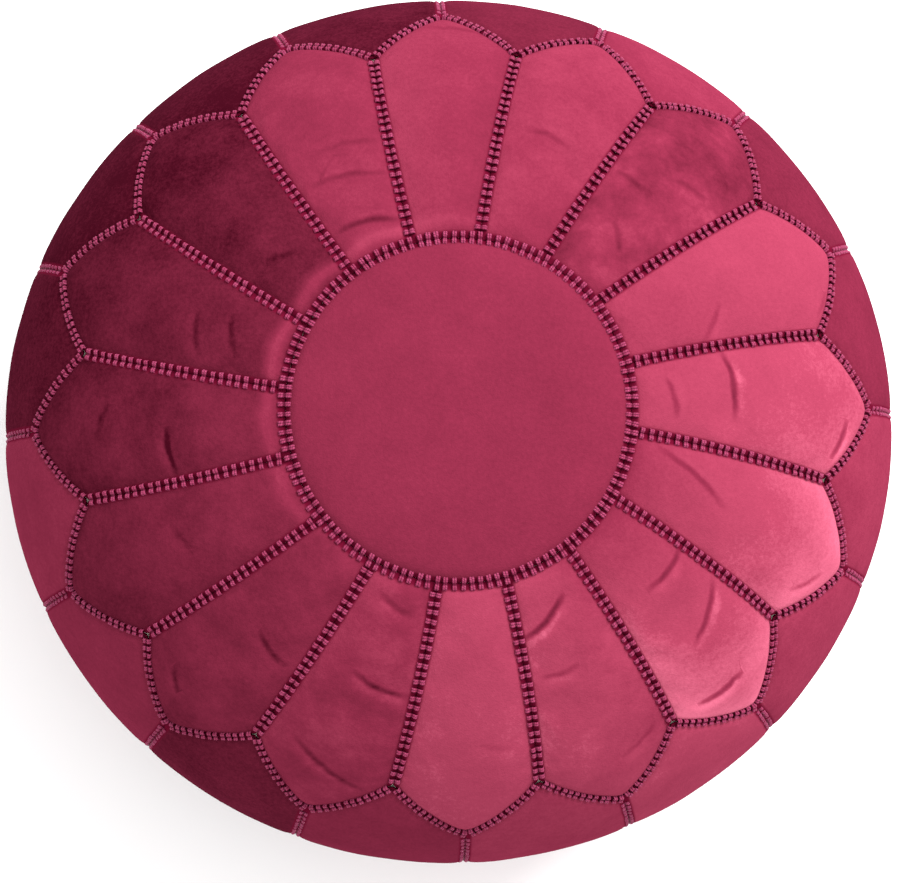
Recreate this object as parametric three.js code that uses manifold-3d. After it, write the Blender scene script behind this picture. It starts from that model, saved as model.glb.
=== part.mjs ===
// A stuffed round floor pouf of laced velvet panels: a round medallion, a ring of pointed petals,
// a ring of wall panels, and a base in two halves that meet at a zip. Millimetres, +Z up.
// The origin is on the floor, under the centre. The zip runs along X.

import * as THREE from "three";
import { mergeVertices } from "three/addons/utils/BufferGeometryUtils.js";
import Module from "manifold-3d";

const wasm = await Module();
wasm.setup();

// ---- Stuffed shape ----
const POUF_RADIUS = 270; // mean radius at the widest level
const POUF_HEIGHT = 315;
const WIDEST_HEIGHT = 155; // height of the widest level above the floor
const DOME_FULLNESS = 2.1; // 2 is an ellipse, and more is squarer
const SKIRT_FULLNESS = 2.3;
const FOOT_RADIUS = 176; // where the wall would meet the floor if the edge were sharp
const FOOT_ROLL_HEIGHT = 15; // height at which the wall starts to roll under
const STUFFING_OVAL = 3.6; // how far the wall stands out along X, and in along Y

// ---- Cutting pattern, measured along the cloth ----
const PETAL_COUNT = 16;
const MEDALLION_REACH = 99; // from the centre of the top to the ring seam
const PETAL_SIDE = 133; // length of the seam between two petals
const PETAL_POINT = 40.5; // how far a petal's tip goes past the end of its side seams
const TIP_ROUNDING = 1.12; // 1 is a straight-sided point, and more is rounder
const BASE_REACH = 186; // from the centre of the base to the base seam
const FIRST_SEAM_DEG = 12.9; // angle of the first petal seam from +X
const RING_TWIST_DEG = 2.7; // how far the hand-laced medallion has turned the seams' inner ends

// ---- Cloth and lacing ----
const CLOTH = 1.8;
const SEAM_GAP = 5; // between two panels, where the lacing lies
const LACING_PLAY = 0.4; // between the lacing and each panel's edge
const LACING_PROUD = 1.2; // how far the lacing stands out of the cloth
const CLEARANCE = 0.3; // between other pieces that touch

// ---- Inside ----
const BAG_GAP = 2.6; // room between the cover and the inner bag
const BAG_CLOTH = 1;
const FILLING_GAP = 1.5;

// ---- Zip ----
const ZIP_END_MARGIN = 32; // from the end of the teeth to the edge of the floor patch
const TAPE_WIDTH = 13;
const TAPE_THICKNESS = 0.6;
const TAPE_HEIGHT = 9; // height of the tape's underside above the floor
const TAPE_END = 6; // tape past the end of the teeth
const TEETH_WIDTH = 2.4;
const TEETH_THICKNESS = 2;
const HEM_WIDTH = 6;
const POST_THICKNESS = 0.8; // the slider's post, which runs between the two rows of teeth
const POST_LENGTH = 3;
const SLIDER_LENGTH = 15;
const SLIDER_PLATE = 1.2;
const SLIDER_FLANGE = 1.1;
const SLIDER_PLAY = 0.8; // between the teeth and the slider's flanges
const SLIDER_ROOM = 1.6; // between the slider and each hem
const CROWN_LENGTH = 8;
const CROWN_WIDTH = 2.6;
const CROWN_WALL = 1.1;
const TAB_THICKNESS = 1.2;
const TAB_WIDTH = 7;
const TAB_LENGTH = 27;
const TAB_PLAY = 0.4; // between the tab's opening and each side of the crown
const TAB_BAR_SIDES = 12;
const TAB_TURN_DEG = 150; // from lying flat along the zip to the other side of the crown
const STOP_LENGTH = 2.4;

// ---- Facets ----
const OUTLINE_STEPS = 240;
const PANEL_COLUMNS = 4; // across one petal or wall panel
const INNER_COLUMNS = 32; // around the inner bag and the filling
const FACET_DIP = 1.2; // how far a row of facets may dip below the outline's curve
const STOP_SEARCH = 2; // step along the cloth with which the rows' places are found

const LACING_WIDTH = SEAM_GAP - 2 * LACING_PLAY;
const FULL_TURN = 2 * Math.PI;
const PITCH = FULL_TURN / PETAL_COUNT;
const FIRST_SEAM = THREE.MathUtils.degToRad(FIRST_SEAM_DEG);
const RING_TWIST = THREE.MathUtils.degToRad(RING_TWIST_DEG);

// ---- Outline of the stuffed cover ----

// The radius of the wall below the widest level, at a height.
function skirtRadius(height, depth) {
  const share = (WIDEST_HEIGHT - height) / depth;
  return POUF_RADIUS * (1 - share ** SKIRT_FULLNESS) ** (1 / SKIRT_FULLNESS);
}

// The points [radius, height] of the outline, from the centre of the top to the centre of the base.
function outlinePoints() {
  const points = [];
  const domeHeight = POUF_HEIGHT - WIDEST_HEIGHT;
  const power = 2 / DOME_FULLNESS;
  for (let i = 0; i < OUTLINE_STEPS; i++) {
    const angle = (i / OUTLINE_STEPS) * (Math.PI / 2);
    const radius = POUF_RADIUS * Math.sin(angle) ** power;
    points.push([radius, WIDEST_HEIGHT + domeHeight * Math.cos(angle) ** power]);
  }
  const footShare = (FOOT_RADIUS / POUF_RADIUS) ** SKIRT_FULLNESS;
  const skirtDepth = WIDEST_HEIGHT / (1 - footShare) ** (1 / SKIRT_FULLNESS);
  for (let i = 0; i <= OUTLINE_STEPS; i++) {
    const height = THREE.MathUtils.lerp(WIDEST_HEIGHT, FOOT_ROLL_HEIGHT, i / OUTLINE_STEPS);
    points.push([skirtRadius(height, skirtDepth), height]);
  }
  // The wall rolls under on a curve that leaves it, and meets the floor, without a corner.
  const start = new THREE.Vector2(...points.at(-1));
  const before = new THREE.Vector2(...points.at(-2));
  const along = start.clone().sub(before).normalize();
  const corner = start.clone().addScaledVector(along, -start.y / along.y);
  const end = new THREE.Vector2(corner.x - corner.distanceTo(start), 0);
  const roll = new THREE.QuadraticBezierCurve(start, corner, end);
  for (const point of roll.getPoints(OUTLINE_STEPS / 8).slice(1)) {
    points.push([point.x, Math.max(point.y, 0)]);
  }
  points.push([0, 0]);
  return { points, floorRadius: end.x };
}

const { points: OUTLINE, floorRadius: FLOOR_RADIUS } = outlinePoints();
const REACHES = [0];
for (let i = 1; i < OUTLINE.length; i++) {
  const step = Math.hypot(OUTLINE[i][0] - OUTLINE[i - 1][0], OUTLINE[i][1] - OUTLINE[i - 1][1]);
  REACHES.push(REACHES[i - 1] + step);
}
const WHOLE_REACH = REACHES.at(-1);

// The outline at a reach, which is the distance along the cloth from the centre of the top.
function outlineAt(reach) {
  const wanted = THREE.MathUtils.clamp(reach, 0, WHOLE_REACH);
  let i = 1;
  while (i < REACHES.length - 1 && REACHES[i] < wanted) i++;
  const [low, high] = [OUTLINE[i - 1], OUTLINE[i]];
  const share = (wanted - REACHES[i - 1]) / (REACHES[i] - REACHES[i - 1]);
  const length = REACHES[i] - REACHES[i - 1];
  return {
    radius: THREE.MathUtils.lerp(low[0], high[0], share),
    height: THREE.MathUtils.lerp(low[1], high[1], share),
    outward: (low[1] - high[1]) / length,
    upward: (high[0] - low[0]) / length,
  };
}

// A point of the cover at an angle and a reach, a depth below its outer face.
function onCover(angle, reach, depth) {
  const at = outlineAt(reach);
  const lean = (STUFFING_OVAL / POUF_RADIUS) * (at.radius / POUF_RADIUS) ** 4;
  const radius = Math.max(at.radius * (1 + lean * Math.cos(2 * angle)) - depth * at.outward, 0);
  return new THREE.Vector3(
    radius * Math.cos(angle),
    radius * Math.sin(angle),
    at.height - depth * at.upward,
  );
}

// The reaches between two ends at which rows keep their facets within FACET_DIP of the outline.
function rowStops(from, to) {
  const stops = [from];
  for (let reach = from + STOP_SEARCH; reach < to; reach += STOP_SEARCH) {
    const [low, high] = [outlineAt(stops.at(-1)), outlineAt(reach)];
    const middle = outlineAt((stops.at(-1) + reach) / 2);
    const dip = Math.hypot(
      middle.radius - (low.radius + high.radius) / 2,
      middle.height - (low.height + high.height) / 2,
    );
    if (dip > FACET_DIP) stops.push(reach - STOP_SEARCH);
  }
  return [...stops, to];
}

// ---- Places of the seams ----
const VALLEY_REACH = MEDALLION_REACH + PETAL_SIDE;
const TIP_REACH = VALLEY_REACH + PETAL_POINT;
const BASE_SEAM_REACH = WHOLE_REACH - BASE_REACH;
const VALLEY_RADIUS = outlineAt(VALLEY_REACH).radius;
const EDGE_SLOPE = PETAL_POINT / ((VALLEY_RADIUS * PITCH) / 2);
const EDGE_STRETCH = Math.hypot(1, EDGE_SLOPE); // reach taken by a unit of width across a petal's edge

// How far the seams are turned at a reach: most at the medallion, and nothing from the petals' ends on.
function twistAt(reach) {
  const share = (VALLEY_REACH - reach) / PETAL_SIDE;
  return RING_TWIST * THREE.MathUtils.clamp(share, 0, 1);
}

// The reach of the zigzag edge of the petals. A whole number of widths is at a side seam.
function zigzagReach(widths) {
  const fromTip = Math.abs(2 * THREE.MathUtils.euclideanModulo(widths, 1) - 1);
  return TIP_REACH - PETAL_POINT * fromTip ** TIP_ROUNDING;
}

// ---- Closed meshes ----

// The triangles of a grid of points. A cell's face points to the side that the cross product of
// a step along a line with a step to the next line points to.
function gridTriangles(lines, inward = false) {
  const triangles = [];
  for (let i = 0; i + 1 < lines.length; i++) {
    for (let j = 0; j + 1 < lines[i].length; j++) {
      const [a, b] = [lines[i][j], lines[i][j + 1]];
      const [d, c] = [lines[i + 1][j], lines[i + 1][j + 1]];
      triangles.push(inward ? [a, c, b] : [a, b, c], inward ? [a, d, c] : [a, c, d]);
    }
  }
  return triangles;
}

// One geometry of a list of triangles, with shared corners merged and flattened triangles dropped.
function closedGeometry(triangles) {
  const soup = new THREE.BufferGeometry().setFromPoints(triangles.flat());
  const merged = mergeVertices(soup, 1e-3);
  const corners = [];
  for (let i = 0; i < merged.index.count; i += 3) {
    const [a, b, c] = merged.index.array.slice(i, i + 3);
    if (a !== b && b !== c && c !== a) corners.push(a, b, c);
  }
  return merged.setIndex(corners);
}

// The points of a patch: for each column, a line of points with one at each row's place.
function patchLines(columns, rows, place, depth) {
  const lines = [];
  for (let i = 0; i <= columns; i++) {
    lines.push(rows.map((row) => place(i / columns, row, depth)));
  }
  return lines;
}

// A cloth panel with its own thickness. place(across, row, depth) gives its points. A round panel
// closes on itself, so it has no side edges.
function clothPanel(columns, rows, place, { round = false, thickness = CLOTH } = {}) {
  const outer = patchLines(columns, rows, place, 0);
  const inner = patchLines(columns, rows, place, thickness);
  const border = (lines, j) => lines.map((line) => line.at(j));
  const triangles = [
    ...gridTriangles(outer),
    ...gridTriangles(inner, true),
    ...gridTriangles([border(outer, 0), border(inner, 0)]),
    ...gridTriangles([border(inner, -1), border(outer, -1)]),
  ];
  if (!round) {
    triangles.push(...gridTriangles([inner[0], outer[0]]));
    triangles.push(...gridTriangles([outer.at(-1), inner.at(-1)]));
  }
  return closedGeometry(triangles);
}

// A band of lacing along a path of [angle, reach] pairs. It fills the seam from the cloth's inner
// face to a little proud of its outer face.
function lacing(path, { loop = false } = {}) {
  const lines = [[], [], [], []];
  const count = path.length;
  path.forEach(([angle, reach], i) => {
    const point = onCover(angle, reach, 0);
    const normal = point.clone().sub(onCover(angle, reach, CLOTH)).normalize();
    const last = loop ? (i + count - 1) % count : Math.max(i - 1, 0);
    const next = loop ? (i + 1) % count : Math.min(i + 1, count - 1);
    const tangent = onCover(...path[next], 0).sub(onCover(...path[last], 0)).normalize();
    const side = normal.clone().cross(tangent).normalize();
    const corners = [
      [-1, LACING_PROUD],
      [1, LACING_PROUD],
      [1, -CLOTH],
      [-1, -CLOTH],
    ];
    corners.forEach(([across, out], k) => {
      const corner = point.clone().addScaledVector(side, (across * LACING_WIDTH) / 2);
      lines[k].push(corner.addScaledVector(normal, out));
    });
  });
  if (loop) for (const line of lines) line.push(line[0]);
  const triangles = gridTriangles([...lines, lines[0]]);
  if (!loop) {
    const [a, b, c, d] = lines.map((line) => line[0]);
    const [e, f, g, h] = lines.map((line) => line.at(-1));
    triangles.push([a, b, c], [a, c, d], [e, g, f], [e, h, g]);
  }
  return closedGeometry(triangles);
}

// ---- Joining and cutting ----
function toSolid(geometry) {
  const plain = geometry.clone();
  plain.deleteAttribute("normal");
  plain.deleteAttribute("uv");
  const merged = mergeVertices(plain, 1e-3);
  const vertProperties = merged.attributes.position.array;
  const triVerts = new Uint32Array(merged.index.array);
  return new wasm.Manifold(new wasm.Mesh({ numProp: 3, vertProperties, triVerts }));
}

function toGeometry(solid) {
  const { vertProperties, triVerts } = solid.getMesh();
  const geometry = new THREE.BufferGeometry();
  geometry.setAttribute("position", new THREE.BufferAttribute(vertProperties, 3));
  return geometry.setIndex(new THREE.BufferAttribute(triVerts, 1));
}

function joined(geometries) {
  return toGeometry(geometries.map(toSolid).reduce((whole, next) => whole.add(next)));
}

function cut(geometry, ...tools) {
  return toGeometry(tools.map(toSolid).reduce((rest, tool) => rest.subtract(tool), toSolid(geometry)));
}

// A box between two opposite corners.
function boxBetween(low, high) {
  const [size, middle] = [high.map((v, i) => v - low[i]), high.map((v, i) => (v + low[i]) / 2)];
  return new THREE.BoxGeometry(...size).translate(...middle);
}

// ---- Materials ----
const finish = (color, roughness, metalness = 0) =>
  new THREE.MeshStandardMaterial({ color, roughness, metalness });
const VELVET = finish(0xb03a62, 0.85);
const THREAD = finish(0xa83a66, 0.45);
const ZIP_TAPE = finish(0x6a1430, 0.9);
const ZIP_TEETH = finish(0x7c1b3c, 0.4);
const ZIP_METAL = finish(0xa8a29a, 0.3, 1);
const BAG_COTTON = finish(0xe6dfd0, 0.95);
const FIBRE = finish(0xf2f0ea, 1);

const pouf = new THREE.Group();

function piece(name, geometry, material) {
  const mesh = new THREE.Mesh(geometry, material);
  mesh.name = name;
  pouf.add(mesh);
  return mesh;
}

const numbered = (name, k) => `${name}_${String(k + 1).padStart(2, "0")}`;
const ringStart = FIRST_SEAM + RING_TWIST;
const halfGap = SEAM_GAP / 2;

// ---- Medallion ----
const medallion = clothPanel(
  PANEL_COLUMNS * PETAL_COUNT,
  rowStops(0, MEDALLION_REACH - halfGap),
  (across, reach, depth) => onCover(ringStart + across * FULL_TURN, reach, depth),
  { round: true },
);
piece("medallion", medallion, VELVET);

// ---- Petals, from the ring seam to the zigzag seam ----
const petalRows = rowStops(MEDALLION_REACH + halfGap, TIP_REACH);
for (let k = 0; k < PETAL_COUNT; k++) {
  const place = (across, row, depth) => {
    const reach = Math.min(row, zigzagReach(across) - halfGap * EDGE_STRETCH);
    const margin = halfGap / outlineAt(reach).radius;
    const share = THREE.MathUtils.lerp(margin, PITCH - margin, across);
    return onCover(FIRST_SEAM + k * PITCH + twistAt(reach) + share, reach, depth);
  };
  piece(numbered("petal", k), clothPanel(PANEL_COLUMNS, petalRows, place), VELVET);
}

// ---- Wall panels, from the zigzag seam to the base seam, each with its peak between two petals ----
const wallRows = rowStops(VALLEY_REACH, BASE_SEAM_REACH - halfGap);
for (let k = 0; k < PETAL_COUNT; k++) {
  const place = (across, row, depth) => {
    const reach = Math.max(row, zigzagReach(across + 0.5) + halfGap * EDGE_STRETCH);
    const margin = halfGap / outlineAt(reach).radius;
    const share = THREE.MathUtils.lerp(margin, PITCH - margin, across);
    return onCover(FIRST_SEAM + (k - 0.5) * PITCH + share, reach, depth);
  };
  piece(numbered("wall_panel", k), clothPanel(PANEL_COLUMNS, wallRows, place), VELVET);
}

// ---- Zip sizes that follow from the floor patch and the tape ----
const teethHalfLength = FLOOR_RADIUS - ZIP_END_MARGIN;
const tapeHalfLength = teethHalfLength + TAPE_END;
const tapeTop = TAPE_HEIGHT + TAPE_THICKNESS;
const teethInner = POST_THICKNESS / 2 + CLEARANCE;
const teethTop = TAPE_HEIGHT - CLEARANCE;
const teethBottom = teethTop - TEETH_THICKNESS;
const hemTop = TAPE_HEIGHT - CLEARANCE;
const sliderHalfWidth = teethInner + TEETH_WIDTH + SLIDER_PLAY + SLIDER_FLANGE;
const slotHalfWidth = sliderHalfWidth + SLIDER_ROOM;
const hemOuter = slotHalfWidth + HEM_WIDTH;
const slotHalfLength = tapeHalfLength + CLEARANCE;
// The tab reaches past the slider, so the far end of the teeth leaves room for it in the slot.
const teethFarEnd = tapeHalfLength - (TAB_LENGTH - SLIDER_LENGTH / 2);
const sliderOuterFace = teethBottom - CLEARANCE - SLIDER_PLATE;
const sliderInnerFace = tapeTop + CLEARANCE + SLIDER_PLATE;

// ---- Base, in two halves that are hemmed where the zip is sewn in ----
// The last row is the flat patch that the pouf stands on.
const wholeBase = clothPanel(
  PANEL_COLUMNS * PETAL_COUNT,
  [...rowStops(BASE_SEAM_REACH + halfGap, WHOLE_REACH - FLOOR_RADIUS), WHOLE_REACH],
  (across, reach, depth) => onCover(FIRST_SEAM - PITCH / 2 + across * FULL_TURN, reach, depth),
  { round: true },
);
for (const [name, side] of [
  ["base_half_front", -1],
  ["base_half_back", 1],
]) {
  const between = (low, high) => boxBetween(
    [low[0], Math.min(side * low[1], side * high[1]), low[2]],
    [high[0], Math.max(side * low[1], side * high[1]), high[2]],
  );
  const otherHalf = between(
    [-POUF_RADIUS, -POUF_RADIUS, -CLOTH],
    [POUF_RADIUS, CLEARANCE / 2, POUF_HEIGHT],
  );
  const slot = between([-slotHalfLength, 0, -CLOTH], [slotHalfLength, hemOuter - CLOTH / 2, CLOTH * 2]);
  const foldUp = between(
    [-slotHalfLength, hemOuter - CLOTH, 0],
    [slotHalfLength, hemOuter, hemTop],
  );
  const hem = between(
    [-slotHalfLength, slotHalfWidth, hemTop - CLOTH],
    [slotHalfLength, hemOuter - CLOTH / 2, hemTop],
  );
  piece(name, joined([cut(wholeBase, otherHalf, slot), foldUp, hem]), VELVET);
}

// ---- Lacing ----

// A closed path around the pouf, with a point at each column of the panels.
function pathAround(start, reachAt) {
  const count = PANEL_COLUMNS * PETAL_COUNT;
  return Array.from({ length: count }, (_, i) => [
    start + (i / count) * FULL_TURN,
    reachAt(i / PANEL_COLUMNS),
  ]);
}

const ringPath = pathAround(ringStart, () => MEDALLION_REACH);
piece("medallion_lacing", lacing(ringPath, { loop: true }), THREAD);

const petalLacing = [lacing(pathAround(FIRST_SEAM, zigzagReach), { loop: true })];
for (let k = 0; k < PETAL_COUNT; k++) {
  const seam = FIRST_SEAM + k * PITCH;
  const from = MEDALLION_REACH + LACING_WIDTH / 2 + CLEARANCE;
  petalLacing.push(
    lacing(rowStops(from, VALLEY_REACH).map((reach) => [seam + twistAt(reach), reach])),
  );
}
piece("petal_lacing", joined(petalLacing), THREAD);

const basePath = pathAround(FIRST_SEAM - PITCH / 2, () => BASE_SEAM_REACH);
const wallLacing = [lacing(basePath, { loop: true })];
for (let k = 0; k < PETAL_COUNT; k++) {
  const seam = FIRST_SEAM + (k + 0.5) * PITCH;
  const from = TIP_REACH + (LACING_WIDTH / 2) * EDGE_STRETCH + CLEARANCE;
  wallLacing.push(lacing(rowStops(from, BASE_SEAM_REACH).map((reach) => [seam, reach])));
}
piece("wall_lacing", joined(wallLacing), THREAD);

// ---- Inner bag and its filling, with a channel over the zip ----
const channel = boxBetween(
  [-slotHalfLength - CLEARANCE, -TAPE_WIDTH - teethInner - 1, -1],
  [slotHalfLength + CLEARANCE, TAPE_WIDTH + teethInner + 1, sliderInnerFace + 1],
);
const bagDepth = CLOTH + BAG_GAP;
const wholeRows = rowStops(0, WHOLE_REACH);
const around = (across, reach, depth) => onCover(across * FULL_TURN, reach, depth);
const bag = clothPanel(
  INNER_COLUMNS,
  wholeRows,
  (across, reach, depth) => around(across, reach, bagDepth + depth),
  { round: true, thickness: BAG_CLOTH },
);
piece("inner_bag", cut(bag, channel), BAG_COTTON);

const fillingDepth = bagDepth + BAG_CLOTH + FILLING_GAP;
const filling = closedGeometry(
  gridTriangles(patchLines(INNER_COLUMNS, wholeRows, around, fillingDepth)),
);
piece("filling", cut(filling, channel), FIBRE);

// ---- Zip ----
for (const [name, side] of [
  ["front", -1],
  ["back", 1],
]) {
  const strip = (from, to, near, far, low, high) =>
    boxBetween(
      [from, Math.min(side * near, side * far), low],
      [to, Math.max(side * near, side * far), high],
    );
  piece(
    `zip_tape_${name}`,
    strip(-tapeHalfLength, tapeHalfLength, teethInner, teethInner + TAPE_WIDTH, TAPE_HEIGHT, tapeTop),
    ZIP_TAPE,
  );
  piece(
    `zip_teeth_${name}`,
    strip(-teethFarEnd, teethHalfLength, teethInner, teethInner + TEETH_WIDTH, teethBottom, teethTop),
    ZIP_TEETH,
  );
}
const [topStopNear, bottomStopNear] = [teethHalfLength + CLEARANCE, -teethFarEnd - CLEARANCE];
const [topStopFar, bottomStopFar] = [topStopNear + STOP_LENGTH, bottomStopNear - STOP_LENGTH];
const stopHalfWidth = teethInner + TEETH_WIDTH;
piece(
  "zip_bottom_stop",
  boxBetween([bottomStopFar, -stopHalfWidth, teethBottom], [bottomStopNear, stopHalfWidth, teethTop]),
  ZIP_METAL,
);
piece(
  "zip_top_stop_front",
  boxBetween([topStopNear, -stopHalfWidth, teethBottom], [topStopFar, -teethInner, teethTop]),
  ZIP_METAL,
);
piece(
  "zip_top_stop_back",
  boxBetween([topStopNear, teethInner, teethBottom], [topStopFar, stopHalfWidth, teethTop]),
  ZIP_METAL,
);

// The slider is at the closed end. Its two plates hold the teeth between them, and its crown
// holds the pull tab. It is modelled round its own centre and then put in its place.
const sliderAt = teethHalfLength - SLIDER_LENGTH / 2 - CLEARANCE;
const sliderFarAt = SLIDER_LENGTH / 2 + CLEARANCE - teethFarEnd;
const sliderEnd = SLIDER_LENGTH / 2;
const crownBottom = sliderOuterFace - TAB_THICKNESS - 2 * CLEARANCE - CROWN_WALL;
const sliderPlate = (low) =>
  boxBetween([-sliderEnd, -sliderHalfWidth, low], [sliderEnd, sliderHalfWidth, low + SLIDER_PLATE]);
const sliderFlange = (near, far) =>
  boxBetween([-sliderEnd, near, sliderOuterFace], [sliderEnd, far, TAPE_HEIGHT - CLEARANCE]);
const post = boxBetween(
  [sliderEnd - 1 - POST_LENGTH, -POST_THICKNESS / 2, sliderOuterFace],
  [sliderEnd - 1, POST_THICKNESS / 2, sliderInnerFace],
);
const crown = boxBetween(
  [-CROWN_LENGTH / 2, -CROWN_WIDTH / 2, crownBottom],
  [CROWN_LENGTH / 2, CROWN_WIDTH / 2, sliderOuterFace + SLIDER_PLATE / 2],
);
const crownHole = boxBetween(
  [-CROWN_LENGTH / 2 + CROWN_WALL, -CROWN_WIDTH, crownBottom + CROWN_WALL],
  [CROWN_LENGTH / 2 - CROWN_WALL, CROWN_WIDTH, sliderOuterFace],
);
const slider = joined([
  sliderPlate(sliderOuterFace),
  sliderPlate(sliderInnerFace - SLIDER_PLATE),
  sliderFlange(-sliderHalfWidth, SLIDER_FLANGE - sliderHalfWidth),
  sliderFlange(sliderHalfWidth - SLIDER_FLANGE, sliderHalfWidth),
  post,
  cut(crown, crownHole),
]);
piece("zip_slider", slider, ZIP_METAL).position.x = sliderAt;

// The pull tab hangs from the crown on its cross-bar. It lies along the zip, and its end has
// dropped as far as the floor lets it.
const barRadius = TAB_THICKNESS / 2;
const barHeight = crownBottom + CROWN_WALL + CLEARANCE + barRadius;
const tabPlate = boxBetween([-TAB_LENGTH, -TAB_WIDTH / 2, -barRadius], [0, TAB_WIDTH / 2, barRadius]);
const tabHoleHalf = CROWN_WIDTH / 2 + TAB_PLAY;
const tabHole = boxBetween(
  [-CROWN_LENGTH, -tabHoleHalf, -TAB_THICKNESS],
  [TAB_THICKNESS, tabHoleHalf, TAB_THICKNESS],
);
const crossBar = new THREE.CylinderGeometry(barRadius, barRadius, TAB_WIDTH, TAB_BAR_SIDES);
const pullTab = piece("zip_pull_tab", joined([cut(tabPlate, tabHole), crossBar]), ZIP_METAL);
pullTab.position.set(sliderAt, 0, barHeight);
const tabDrop = Math.asin((barHeight - barRadius - CLEARANCE) / TAB_LENGTH);
pullTab.rotation.y = -tabDrop;

// How far the moving pieces go, in millimetres and degrees, and where the tab turns about Y.
const dropDeg = THREE.MathUtils.radToDeg(tabDrop);
pouf.userData = {
  zipTravel: sliderAt - sliderFarAt,
  tabPivot: [sliderAt, 0, barHeight],
  tabRangeDeg: [-dropDeg, TAB_TURN_DEG - dropDeg],
};

export default pouf;
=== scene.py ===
# %% [markdown]
# # A laced velvet floor pouf
# The imported model is loaded first and stays fixed. It says where every sub-part is, and every
# piece made below takes its place from the same outline and the same cutting pattern.

# %% Load the frame
import math
import random

import bpy
import numpy as np
from mathutils import Matrix, Vector, noise


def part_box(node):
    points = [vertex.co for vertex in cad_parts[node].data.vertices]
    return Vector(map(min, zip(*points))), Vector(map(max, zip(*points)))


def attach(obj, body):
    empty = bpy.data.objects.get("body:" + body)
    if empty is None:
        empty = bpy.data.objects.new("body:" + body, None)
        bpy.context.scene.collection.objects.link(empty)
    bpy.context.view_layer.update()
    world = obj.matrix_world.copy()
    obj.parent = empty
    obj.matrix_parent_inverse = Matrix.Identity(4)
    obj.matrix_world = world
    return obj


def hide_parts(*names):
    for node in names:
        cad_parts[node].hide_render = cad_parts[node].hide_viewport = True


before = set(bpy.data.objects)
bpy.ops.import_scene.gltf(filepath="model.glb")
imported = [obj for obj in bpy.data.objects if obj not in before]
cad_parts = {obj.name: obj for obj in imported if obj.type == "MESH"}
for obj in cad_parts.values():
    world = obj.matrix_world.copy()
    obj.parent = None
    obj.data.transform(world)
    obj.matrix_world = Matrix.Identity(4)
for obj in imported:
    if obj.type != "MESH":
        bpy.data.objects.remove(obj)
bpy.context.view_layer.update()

# %% [markdown]
# ## Working by hand in a script
# An operator acts on whatever is selected, and a freshly loaded model is selected all over. So
# each piece starts by putting everything down and taking up one thing. A modifier is applied as
# soon as it is set, because a finished piece is a plain mesh.

# %% Taking up a piece, and finishing it
MM = 0.001


def put_down():
    if bpy.context.object and bpy.context.object.mode != "OBJECT":
        bpy.ops.object.mode_set(mode="OBJECT")
    bpy.ops.object.select_all(action="DESELECT")


def take_up(*pieces):
    put_down()
    for piece in pieces:
        piece.select_set(True)
    bpy.context.view_layer.objects.active = pieces[0]
    return pieces[0]


def finish_with(piece, kind, **settings):
    take_up(piece)
    modifier = piece.modifiers.new(kind.title(), kind)
    for name, value in settings.items():
        setattr(modifier, name, value)
    bpy.ops.object.modifier_apply(modifier=modifier.name)
    return piece


def smooth(piece):
    take_up(piece)
    bpy.ops.object.shade_smooth()
    return piece


def points_of(piece):
    points = np.zeros(len(piece.data.vertices) * 3, np.float32)
    piece.data.vertices.foreach_get("co", points)
    return points.reshape(-1, 3).astype(float)


def set_points(piece, points):
    piece.data.vertices.foreach_set("co", np.asarray(points, np.float32).ravel())
    piece.data.update()


def note(piece, name, values):
    """Keeps a number for each point of a piece, which its material reads."""
    kept = piece.data.attributes.new(name, "FLOAT", "POINT")
    kept.data.foreach_set("value", np.broadcast_to(values, len(kept.data)).astype(np.float32))


def noted(piece, name):
    values = np.zeros(len(piece.data.vertices), np.float32)
    piece.data.attributes[name].data.foreach_get("value", values)
    return values


def close_up(piece, within=1e-5):
    """Merges the points of a piece that lie on each other."""
    take_up(piece)
    bpy.ops.object.mode_set(mode="EDIT")
    bpy.ops.mesh.select_all(action="SELECT")
    bpy.ops.mesh.remove_doubles(threshold=within)
    bpy.ops.object.mode_set(mode="OBJECT")
    return piece


# %% [markdown]
# ## The stuffed outline
# A full pouf is nearly a body of revolution: a soft dome on top, a wall that curves in below the
# widest level, and an edge that rolls under to a flat patch on the floor. One outline gives all
# the cloth its place. It is measured along the cloth, because that is how a cover is cut: a
# point's reach is how far it is from the centre of the top, over the surface.

# %% The outline
POUF_RADIUS = 270 * MM
POUF_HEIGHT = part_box("medallion")[1].z
WIDEST_HEIGHT = 155 * MM
DOME_FULLNESS = 2.1
SKIRT_FULLNESS = 2.3
FOOT_RADIUS = 176 * MM
FOOT_ROLL_HEIGHT = 15 * MM
STUFFING_OVAL = 3.6 * MM
OUTLINE_STEPS = 240


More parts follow.
